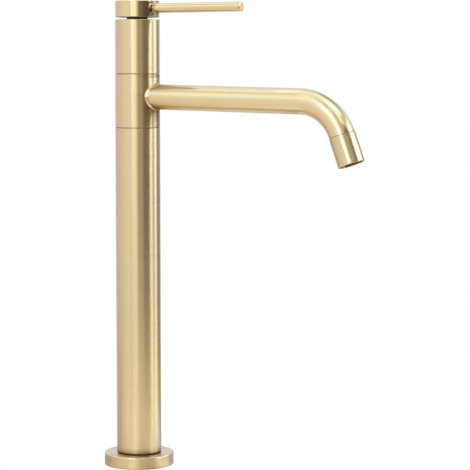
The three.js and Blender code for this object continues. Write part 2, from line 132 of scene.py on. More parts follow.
MID_PANELS = [(-180, 0.79, (1, 1.08, 1.30)), (-165, 0.68, (1, 1.07, 1.33)), (-140, 0.83, (1, 1.01, 1.51)),
              (-115, 0.91, (1, 0.83, 0.90)), (-91, 0.97, (1, 1.10, 1.12)), (-76, 0.98, (1, 1.07, 1.18)),
              (-66, 1.02, (1, 1.05, 1.18)), (-58, 0.99, (1, 1.03, 1.16)), (-49, 0.89, (1, 1.02, 1.27)),
              (-44, 1.24, (1, 1.00, 1.38)), (-38, 1.51, (1, 0.95, 1.41)), (-16, 1.28, (1, 0.97, 1.14)),
              (-8, 0.80, (1, 1.00, 1.16)), (-2, 0.58, (1, 1.04, 1.01)), (5, 0.47, (1, 1.01, 0.86)),
              (17, 0.45, (1, 0.91, 0.60)), (34, 0.16, (1, 0.76, 0.60)), (54, 0.08, (1, 1.02, 1.58)),
              (61, 0.18, (1, 1.07, 1.68)), (66, 1.21, (1, 1.04, 1.68)), (82, 1.68, (1, 0.96, 1.62)),
              (87, 1.10, (1, 0.95, 1.67)), (93, 1.20, (1, 0.95, 1.60)), (97, 1.38, (1, 0.97, 1.68)),
              (110, 1.25, (1, 1.08, 1.69)), (115, 0.71, (1, 1.13, 1.70)), (123, 0.63, (1, 1.17, 1.69)),
              (136, 0.97, (1, 1.14, 1.65)), (147, 0.54, (1, 1.06, 1.39)), (158, 0.96, (1, 1.04, 1.34)),
              (180, 0.79, (1, 1.08, 1.30))]
UPPER_PANELS = [(-180, 0.61, (1, 1.13, 1.66)), (-172, 0.62, (1, 1.11, 1.64)), (-161, 0.73, (1, 1.09, 1.45)),
                (-142, 0.84, (1, 1.08, 1.36)), (-115, 0.85, (1, 1.00, 1.00)), (-91, 0.64, (1, 0.93, 0.89)),
                (-76, 0.87, (1, 1.01, 1.06)), (-60, 0.97, (1, 1.11, 1.24)), (-50, 1.11, (1, 1.09, 1.21)),
                (-32, 1.05, (1, 1.10, 1.20)), (-18, 0.84, (1, 1.18, 1.35)), (-6, 0.45, (1, 1.16, 1.19)),
                (8, 0.40, (1, 0.99, 0.87)), (20, 0.99, (1, 1.03, 0.99)), (30, 1.28, (1, 1.06, 1.02)),
                (53, 0.84, (1, 0.96, 0.69)), (77, 0.47, (1, 0.88, 0.54)), (98, 0.73, (1, 0.99, 0.80)),
                (116, 0.47, (1, 1.00, 0.88)), (131, 0.28, (1, 0.97, 0.89)), (145, 0.31, (1, 1.00, 1.05)),
                (155, 0.25, (1, 1.08, 1.33)), (171, 0.69, (1, 1.07, 1.50)), (180, 0.61, (1, 1.13, 1.66))]
STEEP_PANELS = [(-180, 0.65, (1, 1.08, 1.59)), (-142, 1.10, (1, 1.09, 1.39)), (-115, 1.23, (1, 1.10, 1.39)),
                (-91, 0.73, (1, 0.96, 0.97)), (-68, 0.99, (1, 1.02, 1.04)), (-58, 0.88, (1, 1.01, 1.02)),
                (-35, 0.75, (1, 1.02, 0.94)), (-12, 0.30, (1, 1.06, 0.92)), (8, 1.07, (1, 1.03, 1.48)),
                (30, 0.99, (1, 1.16, 1.51)), (53, 1.08, (1, 1.07, 1.42)), (77, 1.39, (1, 1.10, 1.41)),
                (98, 1.06, (1, 1.06, 1.31)), (116, 0.78, (1, 0.95, 1.04)), (133, 0.48, (1, 1.00, 0.99)),
                (150, 0.34, (1, 1.04, 0.93)), (180, 0.65, (1, 1.08, 1.59))]
TOP_PANELS = [(-180, 1.14, (1, 1.04, 1.30)), (-150, 0.96, (1, 1.05, 1.16)), (-103, 0.99, (1, 1.06, 1.25)),
              (-68, 0.86, (1, 1.00, 1.00)), (-40, 0.90, (1, 1.00, 1.01)), (-10, 0.86, (1, 1.03, 1.42)),
              (13, 1.15, (1, 1.11, 1.45)), (72, 1.17, (1, 1.11, 1.45)), (100, 1.35, (1, 1.05, 1.51)),
              (114, 0.96, (1, 1.06, 1.28)), (140, 1.01, (1, 1.06, 1.05)), (180, 1.14, (1, 1.04, 1.30))]


# --------------------------------------------------------------- mesh helpers
def mesh_object(name, verts, faces, uvs=None, matrix=None, sharp=40):
    """A mesh object from points in mm. uvs is one (u, v) per face corner."""
    mesh = bpy.data.meshes.new(name)
    mesh.from_pydata([tuple(c * MM for c in v) for v in verts], [], faces)
    if uvs is not None:
        layer = mesh.uv_layers.new(name="UVMap")
        layer.data.foreach_set("uv", np.array(uvs, np.float32).ravel())
    bm = bmesh.new()
    bm.from_mesh(mesh)
    bmesh.ops.recalc_face_normals(bm, faces=bm.faces)
    bm.to_mesh(mesh)
    bm.free()
    mesh.polygons.foreach_set("use_smooth", [True] * len(mesh.polygons))
    mesh.set_sharp_from_angle(angle=math.radians(sharp))
    mesh.update()
    obj = bpy.data.objects.new(name, mesh)
    scene.collection.objects.link(obj)
    if matrix is not None:
        obj.matrix_world = matrix
    return obj


def outline(points, closed=True, steps=5, support=0.18):
    """A profile with its corners rounded. points are (r, z) or (r, z, fillet)."""
    pts = [Vector(p[:2]) for p in points]
    rad = [p[2] if len(p) > 2 else 0.0 for p in points]
    out = []
    n = len(pts)
    for i, p in enumerate(pts):
        if rad[i] <= 0 or (not closed and i in (0, n - 1)):
            out.append(p.copy())
            continue
        a, b = pts[(i - 1) % n], pts[(i + 1) % n]
        u, w = (a - p).normalized(), (b - p).normalized()
        angle = math.acos(max(-1, min(1, u.dot(w))))
        d = rad[i] / math.tan(angle / 2)
        d = min(d, (a - p).length * 0.49, (b - p).length * 0.49)
        r = d * math.tan(angle / 2)
        centre = p + (u + w).normalized() * (r / math.sin(angle / 2))
        start, end = p + u * d, p + w * d
        if (a - start).length > support * 2.2:
            out.append(start + u * support)
        v0, v1 = start - centre, end - centre
        sweep = math.atan2(v0.x * v1.y - v0.y * v1.x, v0.dot(v1))
        for k in range(steps + 1):
            c, s = math.cos(sweep * k / steps), math.sin(sweep * k / steps)
            out.append(centre + Vector((v0.x * c - v0.y * s, v0.x * s + v0.y * c)))
        if (b - end).length > support * 2.2:
            out.append(end + w * support)
    return out


def lathe(name, profile, segs=128, closed=True, matrix=None, sharp=40, wobble=None):
    """A turned piece about local Z. A profile that isn't closed starts and ends on the axis."""
    verts, rings = [], []
    for p in profile:
        r, z = max(p[0], 0.0), p[1]
        if r < 1e-6:
            rings.append([len(verts)] * segs)
            verts.append((0, 0, z))
            continue
        rings.append(list(range(len(verts), len(verts) + segs)))
        for i in range(segs):
            a = TAU * i / segs
            verts.append((r * math.cos(a), r * math.sin(a), z))
    length = [0.0]
    for p, q in zip(profile, list(profile[1:]) + [profile[0]]):
        length.append(length[-1] + math.hypot(q[0] - p[0], q[1] - p[1]))
    faces, uvs = [], []
    count = len(profile) if closed else len(profile) - 1
    for j in range(count):
        a, b = rings[j], rings[(j + 1) % len(profile)]
        for i in range(segs):
            k = (i + 1) % segs
            quad = [(a[i], i, j), (a[k], i + 1, j), (b[k], i + 1, j + 1), (b[i], i, j + 1)]
            seen, corner = set(), []
            for v, ui, vj in quad:
                if v not in seen:
                    seen.add(v)
                    corner.append((v, ui, vj))
            if len(corner) < 3:
                continue
            faces.append([c[0] for c in corner])
            uvs += [(c[1] / segs, length[c[2]] * MM) for c in corner]
    return mesh_object(name, verts, faces, uvs, matrix, sharp)


def loops(name, rings, wrap=True, caps=False, lengths=None, matrix=None, sharp=40):
    """A skin over rings that all have the same number of points. wrap joins the last ring to the first."""
    n = len(rings[0])
    verts = [v for r in rings for v in r]
    if lengths is None:
        lengths = [0.0]
        for a, b in zip(rings, rings[1:] + [rings[0]]):
            lengths.append(lengths[-1] + (Vector(a[0]) - Vector(b[0])).length)
    faces, uvs = [], []
    for j in range(len(rings) if wrap else len(rings) - 1):
        q = (j + 1) % len(rings)
        for i in range(n):
            k = (i + 1) % n
            faces.append([j * n + i, j * n + k, q * n + k, q * n + i])
            uvs += [(i / n, lengths[j] * MM), ((i + 1) / n, lengths[j] * MM),
                    ((i + 1) / n, lengths[j + 1] * MM), (i / n, lengths[j + 1] * MM)]
    if caps:
        for ring in (list(range(n)), [(len(rings) - 1) * n + i for i in range(n)]):
            faces.append(ring)
            uvs += [(i / n, 0.0) for i in range(n)]
    return mesh_object(name, verts, faces, uvs, matrix, sharp)


def place(obj, body, material, slot, *replaced, faces=None):
    """Puts a piece on its body. faces is (material, test) for faces with a finish of their own."""
    obj.data.materials.clear()
    obj.data.materials.append(material)
    if faces:
        obj.data.materials.append(faces[0])
        for poly in obj.data.polygons:
            if faces[1](poly.center / MM, poly.normal):
                poly.material_index = 1
    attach(obj, body)
    if replaced:
        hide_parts(*replaced)
    return obj


# ------------------------------------------------------------------ materials
class Nodes:
    """Short calls for building a node tree."""

    def __init__(self, name):
        self.mat = bpy.data.materials.new(name)
        self.mat.use_nodes = True
        self.tree = self.mat.node_tree
        self.bsdf = next(n for n in self.tree.nodes if n.type == "BSDF_PRINCIPLED")

    def add(self, kind, **settings):
        n = self.tree.nodes.new(kind)
        for k, v in settings.items():
            setattr(n, k, v)
        return n

    def link(self, a, b):
        self.tree.links.new(a, b)

    def math(self, op, a, b=None, c=None, clamp=False):
        n = self.add("ShaderNodeMath", operation=op, use_clamp=clamp)
        for i, v in enumerate((a, b, c)):
            if v is None:
                continue
            if hasattr(v, "links"):
                self.link(v, n.inputs[i])
            else:
                n.inputs[i].default_value = v
        return n.outputs[0]

    def scaled(self, source, scale):
        n = self.add("ShaderNodeVectorMath", operation="MULTIPLY")
        self.link(source, n.inputs[0])
        n.inputs[1].default_value = scale
        return n.outputs[0]

    def noise(self, vector, scale=1.0, detail=2.0, rough=0.5):
        n = self.add("ShaderNodeTexNoise")
        self.link(vector, n.inputs["Vector"])
        n.inputs["Scale"].default_value = scale
        n.inputs["Detail"].default_value = detail
        n.inputs["Roughness"].default_value = rough
        return n.outputs["Fac"]

    def remap(self, value, lo, hi, a=0.0, b=1.0):
        n = self.add("ShaderNodeMapRange")
        self.link(value, n.inputs["Value"])
        n.inputs["From Min"].default_value = lo
        n.inputs["From Max"].default_value = hi
        n.inputs["To Min"].default_value = a
        n.inputs["To Max"].default_value = b
        return n.outputs["Result"]

    def mix(self, fac, a, b):
        n = self.add("ShaderNodeMix", data_type="RGBA")
        if hasattr(fac, "links"):
            self.link(fac, n.inputs["Factor"])
        else:
            n.inputs["Factor"].default_value = fac
        for sock, v in ((n.inputs[6], a), (n.inputs[7], b)):
            if hasattr(v, "links"):
                self.link(v, sock)
            else:
                sock.default_value = (*v, 1.0)
        return n.outputs[2]

    def bump(self, height, distance, strength=1.0, normal=None):
        n = self.add("ShaderNodeBump")
        self.link(height, n.inputs["Height"])
        n.inputs["Distance"].default_value = distance
        n.inputs["Strength"].default_value = strength
        if normal is not None:
            self.link(normal, n.inputs["Normal"])
        return n.outputs["Normal"]

    def crevice(self, distance, samples=6):
        n = self.add("ShaderNodeAmbientOcclusion", samples=samples)
        n.inputs["Distance"].default_value = distance
        return n.outputs["AO"]

    def object_coords(self):
        return self.add("ShaderNodeTexCoord").outputs["Object"]

    def around_and_along(self):
        """Seamless coordinates from the UV map: (cos, sin) around a tube, and metres along it."""
        uv = self.add("ShaderNodeUVMap", uv_map="UVMap")
        sep = self.add("ShaderNodeSeparateXYZ")
        self.link(uv.outputs["UV"], sep.inputs[0])
        turn = self.math("MULTIPLY", sep.outputs[0], TAU)
        com = self.add("ShaderNodeCombineXYZ")
        self.link(self.math("COSINE", turn), com.inputs[0])
        self.link(self.math("SINE", turn), com.inputs[1])
        self.link(sep.outputs[1], com.inputs[2])
        return com.outputs[0]


GOLD = (0.70, 0.572, 0.323)
GOLD_DEEP = (0.645, 0.51, 0.268)
GOLD_PALE = (0.735, 0.617, 0.382)


def gold(name, grain="turned", rough=0.225, aniso=0.92, streak=1.0, painted_brightness=(1.0, 1.0, 1.0), root_shade=None):
    """Brushed gold-coloured coating. grain: turned (lines round local Z), drawn (lines along a tube) or faced (rings on a flat end)."""
    m = Nodes(name)
    b = m.bsdf
    b.inputs["Metallic"].default_value = 1.0
    b.inputs["Anisotropic"].default_value = aniso
    b.inputs["Specular Tint"].default_value = (0.93, 0.92, 0.90, 1.0)
    tangent = m.add("ShaderNodeTangent")
    if grain == "drawn":
        tangent.direction_type = "UV_MAP"
        tangent.uv_map = "UVMap"
        b.inputs["Anisotropic Rotation"].default_value = 0.0
        at = m.around_and_along()
        fine = m.noise(m.scaled(at, (38.0, 38.0, 18.0)), 1.0, 3.0, 0.6)
        broad = m.noise(m.scaled(at, (7.0, 7.0, 6.0)), 1.0, 2.0, 0.5)
        hair = m.noise(m.scaled(at, (110.0, 110.0, 60.0)), 1.0, 2.0, 0.6)
    else:
        tangent.direction_type = "RADIAL"
        tangent.axis = "Z"
        b.inputs["Anisotropic Rotation"].default_value = 0.25
        at = m.object_coords()
        fine = m.noise(m.scaled(at, (30.0, 30.0, 1500.0)), 1.0, 3.0, 0.65)
        broad = m.noise(m.scaled(at, (18.0, 18.0, 160.0)), 1.0, 2.0, 0.5)
        hair = m.noise(m.scaled(at, (70.0, 70.0, 5200.0)), 1.0, 2.0, 0.6)
    m.link(tangent.outputs[0], b.inputs["Tangent"])
    # colour: long streaks, slow clouding, and paler edges where the coat is rubbed
    tone = m.mix(m.remap(fine, 0.3, 0.7), GOLD_DEEP, GOLD_PALE)
    cloud = m.mix(m.remap(broad, 0.3, 0.7), GOLD, tone)
    base = m.mix(0.45 * streak, GOLD, cloud)
    geo = m.add("ShaderNodeNewGeometry")
    edge = m.remap(geo.outputs["Pointiness"], 0.53, 0.62)
    base = m.mix(m.math("MULTIPLY", edge, 0.35, clamp=True), base, (0.78, 0.68, 0.47))
    # painted light: the whole coat is made lighter or darker by this factor, giving lit and shaded copies of one gold
    if painted_brightness != (1.0, 1.0, 1.0):
        tinted = m.add("ShaderNodeVectorMath", operation="MULTIPLY")
        m.link(base, tinted.inputs[0])
        tinted.inputs[1].default_value = painted_brightness
        base = tinted.outputs[0]
    # painted shade: the coat is darkened to brown in corners and joints, where nearby surfaces close round it
    unshaded = m.remap(m.crevice(0.0026), 0.25, 0.78)
    if root_shade:
        # painted shade round a root, mostly on its underside; above the root the painted shade is lifted again
        reach, least, most, left, middle, top, above_unshaded = root_shade
        sep = m.add("ShaderNodeSeparateXYZ")
        m.link(m.object_coords(), sep.inputs[0])
        above_root = m.remap(sep.outputs[2], (middle - 3) * MM, (middle + 3) * MM, 0.0, above_unshaded)
        above_root = m.math("MULTIPLY", above_root, m.remap(sep.outputs[2], (top + 0.4) * MM, (top - 0.4) * MM, 0.0, 1.0))
        root_shade_mix = m.math("MAXIMUM", m.remap(m.crevice(reach, 12), least, most, left, 1.0), above_root)
        base = m.mix(root_shade_mix, (0.20, 0.125, 0.04), base)
        unshaded = m.math("MAXIMUM", unshaded, above_root)
    # painted shade: the coat is mixed towards dark brown wherever the occlusion mask is low
    base = m.mix(unshaded, (0.25, 0.155, 0.014), base)
    m.link(base, b.inputs["Base Color"])
    r = m.remap(m.math("ADD", m.math("MULTIPLY", fine, 0.6), m.math("MULTIPLY", hair, 0.4)),
                0.3, 0.7, rough - 0.03, rough + 0.03)
    m.link(m.math("SUBTRACT", r, m.math("MULTIPLY", edge, 0.05, clamp=True)), b.inputs["Roughness"])
    height = m.math("ADD", m.math("MULTIPLY", hair, 0.5), m.math("MULTIPLY", fine, 0.5))
    m.link(m.bump(height, 0.00002 * streak, 0.55), b.inputs["Normal"])
    return m.mat


def machined(name, colour, rough=0.32, lines=900.0, metallic=1.0):
    """Turned or drawn metal that isn't coated: tool lines, stain and paler edges."""
    m = Nodes(name)
    b = m.bsdf
    b.inputs["Metallic"].default_value = metallic
    b.inputs["Anisotropic"].default_value = 0.5
    at = m.object_coords()
    tool = m.noise(m.scaled(at, (60.0, 60.0, lines * 2)), 1.0, 2.0, 0.6)
    stain = m.noise(at, 55.0, 4.0, 0.6)
    dark = tuple(c * 0.72 for c in colour)
    base = m.mix(m.remap(stain, 0.4, 0.75), colour, dark)
    geo = m.add("ShaderNodeNewGeometry")
    edge = m.remap(geo.outputs["Pointiness"], 0.53, 0.62)
    base = m.mix(m.math("MULTIPLY", edge, 0.5, clamp=True), base, tuple(min(1.0, c * 1.25 + 0.05) for c in colour))
    m.link(base, b.inputs["Base Color"])
    m.link(m.remap(m.math("ADD", m.math("MULTIPLY", tool, 0.5), m.math("MULTIPLY", stain, 0.5)),
                   0.3, 0.7, rough - 0.08, rough + 0.1), b.inputs["Roughness"])
    m.link(m.bump(tool, 0.00003, 0.6), b.inputs["Normal"])
    return m.mat


def moulded(name, colour, rough=0.5, grain=2400.0, depth=0.00002, ior=1.5, coat=0.0):
    """Moulded or pressed material that isn't metal: fine grain, slight mottling, scuffed edges."""
    m = Nodes(name)
    b = m.bsdf
    b.inputs["IOR"].default_value = ior
    b.inputs["Coat Weight"].default_value = coat
    at = m.object_coords()
    fine = m.noise(at, grain, 3.0, 0.6)
    patch = m.noise(at, 120.0, 3.0, 0.55)
    geo = m.add("ShaderNodeNewGeometry")
    edge = m.remap(geo.outputs["Pointiness"], 0.53, 0.62)
    base = m.mix(m.remap(patch, 0.35, 0.7), tuple(c * 0.88 for c in colour), tuple(min(1.0, c * 1.06) for c in colour))
    base = m.mix(m.math("MULTIPLY", edge, 0.3, clamp=True), base, tuple(min(1.0, c * 1.3 + 0.03) for c in colour))
    m.link(base, b.inputs["Base Color"])
    m.link(m.remap(m.math("ADD", m.math("MULTIPLY", fine, 0.5), m.math("MULTIPLY", patch, 0.5)),
                   0.3, 0.7, rough - 0.07, rough + 0.07), b.inputs["Roughness"])
    m.link(m.bump(fine, depth, 0.6), b.inputs["Normal"])
    return m.mat


M_TURNED = gold("gold_turned", "turned", streak=0.65)
# painted shade: the column darkens where it stands on the flange, the hub and spout below the spout's root, and the cap
# round the lever's root
M_COLUMN = gold("gold_column", "turned", streak=0.65, root_shade=(0.006, 0.50, 0.96, 0.10, 0.0, 400.0, 0.0))
M_HUB = gold("gold_hub", "turned", streak=0.65, root_shade=(0.026, 0.66, 0.985, 0.0, SPOUT_Z, 305.0, 1.0))
# painted light: the spout's and the lever's gold is made lighter than the rest of the coat
M_DRAWN = gold("gold_drawn", "drawn", rough=0.21, aniso=0.5, streak=0.5, painted_brightness=(1.07, 1.07, 1.06), root_shade=(0.036, 0.64, 0.965, 0.0, SPOUT_Z - 5.0, 400.0, 0.65))
M_LEVER = gold("gold_lever", "drawn", rough=0.2, aniso=0.4, streak=0.4, painted_brightness=(1.03, 1.03, 1.03))
M_CAP = gold("gold_cap", "turned", rough=0.12, aniso=0.5, streak=0.6, root_shade=(0.014, 0.62, 0.995, 0.0, LEVER_Z + 1.0, 363.5, 0.85))
# a rougher, darker copy of the coat: the roughness is the finish, the darkness is painted shade
M_FACED_SHADED = gold("gold_faced_painted_shade", "turned", rough=0.33, aniso=0.6, streak=0.6, painted_brightness=(0.84, 0.82, 0.88))
# painted shade: near black-brown metal that stands in for the shade in the gap under the cap
M_INSIDE_SHADE = machined("inside_painted_shade", (0.15, 0.088, 0.026), 0.45)
M_BEAD = gold("gold_bead", "drawn", rough=0.15, aniso=0.0, streak=0.5)
M_BRASS = machined("brass", (0.78, 0.56, 0.22), 0.34)
M_COPPER = machined("copper", (0.72, 0.36, 0.2), 0.3)
M_STEEL = machined("steel", (0.56, 0.57, 0.58), 0.3)
M_RUBBER = moulded("rubber", (0.022, 0.022, 0.024), 0.72, 1800.0, 0.00003)
M_ACETAL = moulded("acetal", (0.80, 0.79, 0.73), 0.42)
M_PLASTIC = moulded("dark_plastic", (0.028, 0.03, 0.034), 0.45)
M_CERAMIC = moulded("ceramic", (0.83, 0.80, 0.74), 0.18, 4000.0, 0.000005, 1.76)

SLOTS = {"brushed_gold": M_TURNED, "inner_brass": M_BRASS, "copper": M_COPPER, "steel": M_STEEL,
         "black_rubber": M_RUBBER, "acetal": M_ACETAL, "dark_plastic": M_PLASTIC, "ceramic": M_CERAMIC}
for part in frame["record"]["subparts"]:
    node = NODES[part["node"]]
    node.data.materials.clear() if not node.data.materials else None
    if not node.material_slots:
        node.data.materials.append(None)
    for s in node.material_slots:
        s.link = "OBJECT"
        s.material = SLOTS[part["material_slot"]]

# -------------------------------------------------------------- outer pieces
# painted shade: the flange's upward faces take the darker copy of the coat
place(lathe("flange_finish", outline([
    (FLANGE_BORE_R, 0), (20.6, 0), (20.6, 2.6), (23.8, 2.6), (23.8, 0),
    (FLANGE_R, 0, 0.3), (FLANGE_R, FLANGE_H, 0.8), (FLANGE_BORE_R, FLANGE_H),
]), 160), "root", M_TURNED, "brushed_gold", "base_flange",
    faces=(M_FACED_SHADED, lambda c, n: n.z > 0.93 and c.z > FLANGE_H - 0.1))

place(lathe("column_finish", outline([
    (COLUMN_BORE_R, 9.55), (16.7, 9.55), (17.0, 9.75), (COLUMN_R, 10.6, 0.7), (COLUMN_R, 60.0), (COLUMN_R, 130.0), (COLUMN_R, 200.0),
    (COLUMN_R, COLUMN_TOP, 0.16), (17.0, COLUMN_TOP), (17.0, COLUMN_TOP + 0.38), (COLUMN_BORE_R, COLUMN_TOP + 0.38),
]), 128), "root", M_COLUMN, "brushed_gold", "column_tube")

place(lathe("hub_finish", outline([
    (12.6, HUB_BOTTOM + 1.7), (15.5, HUB_BOTTOM + 1.7), (15.5, HUB_BOTTOM), (COLUMN_R, HUB_BOTTOM, 0.16),
    (COLUMN_R, HUB_TOP, 0.16), (17.0, HUB_TOP), (17.0, HUB_TOP + 0.38), (15.5, HUB_TOP + 0.38), (15.5, HUB_TOP - 1.7),
    (12.6, HUB_TOP - 1.7),
]), 128), "spout", M_HUB, "brushed_gold", "spout_hub")

place(lathe("body_finish", outline([
    (10.7, BODY_BOTTOM), (COLUMN_R, BODY_BOTTOM, 0.16), (COLUMN_R, BODY_TOP, 0.6), (BODY_BORE_R, BODY_TOP),
    (BODY_BORE_R, 334.5), (12.9, 334.5), (12.9, 314.8), (10.7, 314.8),
]), 128), "root", M_TURNED, "brushed_gold", "upper_body")

# painted shade: the inside of the cap and its boss take the near black-brown metal
place(lathe("cap_finish", outline([
    (0, BOSS_BOTTOM), (BOSS_R, BOSS_BOTTOM, 0.4), (BOSS_R, 359.4), (CAP_R - CAP_WALL, 359.4),
    (CAP_R - CAP_WALL, CAP_BOTTOM), (CAP_R, CAP_BOTTOM, 0.3), (CAP_R, CAP_TOP, 0.55), (0, CAP_TOP),
], closed=False), 128, closed=False), "handle", M_CAP, "brushed_gold", "handle_cap",
    faces=(M_INSIDE_SHADE, lambda c, n: c.z < CAP_TOP - 1 and math.hypot(c.x, c.y) < CAP_R - 1.0))


# ---- spout tube, with its root shaped to the hub
def spout_point(s):
    """Centre, direction and up vector at a distance along the spout from the column axis."""
    if s <= SPOUT_STRAIGHT:
        a = DROOP
        p = Vector((s * math.cos(a), 0, SPOUT_Z - s * math.sin(a)))
    else:
        a = DROOP + (s - SPOUT_STRAIGHT) / BEND_R
        q = Vector((SPOUT_STRAIGHT * math.cos(DROOP), 0, SPOUT_Z - SPOUT_STRAIGHT * math.sin(DROOP)))
        c = q - BEND_R * Vector((math.sin(DROOP), 0, math.cos(DROOP)))
        p = c + BEND_R * Vector((math.sin(a), 0, math.cos(a)))
    return p, Vector((math.cos(a), 0, -math.sin(a))), Vector((math.sin(a), 0, math.cos(a)))


def at_cylinder(tube_r, post_r, turn, axis_z, droop):
    """Where a line on a tube of radius tube_r meets the upright cylinder post_r; turn 0 is the tube's top."""
    y = tube_r * math.sin(turn)
    x = math.sqrt(max(post_r ** 2 - y ** 2, 0.0))
    s = (x - tube_r * math.cos(turn) * math.sin(droop)) / math.cos(droop)
    return Vector((x, y, axis_z - s * math.sin(droop) + tube_r * math.cos(turn) * math.cos(droop))), s


SECTION = 96
TURNS = [TAU * (i + 0.5) / SECTION + math.pi for i in range(SECTION)]
SPOUT_END = SPOUT_STRAIGHT + BEND_R * BEND_TURN


def tube_ring(s, r):
    p, _, up = spout_point(s)
    return [p + up * (r * math.cos(t)) + Vector((0, r * math.sin(t), 0)) for t in TURNS]


stations = [24.0, 27.0, 32.0] + [32.0 + (SPOUT_STRAIGHT - 32.0) * k / 12 for k in range(1, 12)]
stations += [SPOUT_STRAIGHT + (SPOUT_END - 0.5 - SPOUT_STRAIGHT) * k / 44 for k in range(0, 45)]
rings = [[at_cylinder(SPOUT_R, COLUMN_R - 0.3, t, SPOUT_Z, DROOP)[0] for t in TURNS]]
rings += [tube_ring(s, SPOUT_R) for s in stations]
for k in range(6):
    a = math.pi / 2 * k / 5
    rings.append(tube_ring(SPOUT_END - 0.16 + 0.16 * math.sin(a), SPOUT_R - 0.16 + 0.16 * math.cos(a)))
rings.append(tube_ring(SPOUT_END, SPOUT_R - 0.5))
rings.append(tube_ring(SPOUT_END, SPOUT_BORE_R))
rings += [tube_ring(s, SPOUT_BORE_R) for s in reversed(stations[::3])]
rings.append([at_cylinder(SPOUT_BORE_R, COLUMN_R - 0.3, t, SPOUT_Z, DROOP)[0] for t in TURNS])
place(loops("spout_finish", rings), "spout", M_DRAWN, "brushed_gold", "spout_tube")

# ---- the small collar where the tube is joined to the hub
section = [(SPOUT_R - 0.5, -0.5), (SPOUT_R + 0.80, -0.3), (SPOUT_R + 0.82, 0.05)]
for k in range(6):
    a = math.radians(-5 + 70 * k / 5)
    section.append((SPOUT_R + 0.60 + 0.22 * math.cos(a), 0.18 + 0.22 * math.sin(a)))
for k in range(1, 5):
    u = k / 5
    section.append((SPOUT_R + 0.69 - 0.53 * u, 0.38 + 1.22 * u))
for k in range(4):
    a = math.radians(30 + 95 * k / 3)
    section.append((SPOUT_R + 0.06 + 0.10 * math.cos(a), 1.62 + 0.10 * math.sin(a)))
section += [(SPOUT_R - 0.1, 1.66)]
rings = [[at_cylinder(rho, COLUMN_R + e, t, SPOUT_Z, DROOP)[0] for t in TURNS] for rho, e in section]
place(loops("spout_root_collar", rings, sharp=60), "spout", M_BEAD, "brushed_gold")

# ---- outlet at the end of the bend
end_point, end_dir, end_up = spout_point(SPOUT_END)
tip = Matrix.Translation(end_point * MM) @ Matrix((
    (end_up.x, 0, -end_dir.x, 0), (0, 1, 0, 0), (end_up.z, 0, -end_dir.z, 0), (0, 0, 0, 1)))
T = AERATOR_LENGTH - 0.4
place(lathe("aerator_finish", outline([
    (7.0, 2.8), (8.0, 2.8), (8.0, -0.16), (AERATOR_R - 0.05, -0.16, 0.14), (AERATOR_R - 0.05, -T, 0.8), (9.0, -T, 0.25),
    (9.0, -3.2), (7.0, -3.2),
]), 112, matrix=tip), "spout", M_TURNED, "brushed_gold", "aerator_housing")


def plate(name, outer, holes, z0, z1, matrix=None, sharp=40):
    """A flat plate between z0 and z1 with straight holes through it. Loops are lists of (x, y)."""
    rings = [outer] + holes
    flat = [p for r in rings for p in r]
    tris = tessellate_polygon([[Vector((x, y, 0)) for x, y in r] for r in rings])
    n = len(flat)
    verts = [(x, y, z0) for x, y in flat] + [(x, y, z1) for x, y in flat]
    faces = [[c, b, a] for a, b, c in tris] + [[a + n, b + n, c + n] for a, b, c in tris]
    start = 0
    for r in rings:
        for i in range(len(r)):
            k = (i + 1) % len(r)
            faces.append([start + i, start + k, start + k + n, start + i + n])
        start += len(r)
    uvs = []
    for f in faces:
        uvs += [(verts[v][0] * 0.02, verts[v][1] * 0.02) for v in f]
    return mesh_object(name, verts, faces, uvs, matrix, sharp)


def polygon(cx, cy, r, n, phase=0.0):
    return [(cx + r * math.cos(TAU * i / n + phase), cy + r * math.sin(TAU * i / n + phase)) for i in range(n)]


cells = []
pitch = 1.75
for row in range(-5, 6):
    for col in range(-5, 6):
        cx = pitch * (col + 0.5 * (row % 2))
        cy = pitch * row * math.sqrt(3) / 2
        if math.hypot(cx, cy) < 6.6:
            cells.append(polygon(cx, cy, 0.78, 6, math.pi / 6))
place(plate("aerator_cells", polygon(0, 0, 7.6, 64), cells, -T + 0.95, -T + 4.2, tip), "spout", M_PLASTIC, "dark_plastic")
place(lathe("aerator_insert_finish", outline([
    (7.5, -T + 0.75, 0.2), (8.7, -T + 0.75, 0.3), (8.7, -7.2), (7.5, -7.2),
]), 80, matrix=tip), "spout", M_PLASTIC, "dark_plastic", "aerator_insert")

# ---- pin lever and the ring where it enters the cap
along_x = Matrix(((0, 0, 1, 0), (0, 1, 0, 0), (-1, 0, 0, 0), (0, 0, 0, 1)))
lever = Matrix.Translation((0, 0, LEVER_Z * MM)) @ along_x
place(lathe("lever_finish", outline([
    (0, CAP_R - 0.6), (LEVER_R, CAP_R - 0.6), (LEVER_R, 40.0), (LEVER_R, 70.0), (LEVER_R, LEVER_END, 0.95), (0, LEVER_END),
], closed=False), 80, closed=False, matrix=lever), "handle", M_LEVER, "brushed_gold", "lever_pin")
turns = [TAU * (i + 0.5) / 72 + math.pi for i in range(72)]
section = [(LEVER_R - 0.3, -0.5), (LEVER_R + 0.5, -0.3)]
for k in range(9):
    a = math.pi * k / 8
    section.append((LEVER_R + 0.08 + 0.42 * math.cos(a), 0.05 + 0.42 * math.sin(a)))
rings = [[at_cylinder(rho, CAP_R + e, t, LEVER_Z, 0.0)[0] for t in turns] for rho, e in section]
place(loops("lever_root_ring", rings, sharp=60), "handle", M_BEAD, "brushed_gold")

# ----------------------------------------------------------------- the stage
FRONT = (0.527, -0.850, 0.0)     # the side the main picture is taken from
RIGHT = (0.850, 0.527, 0.0)


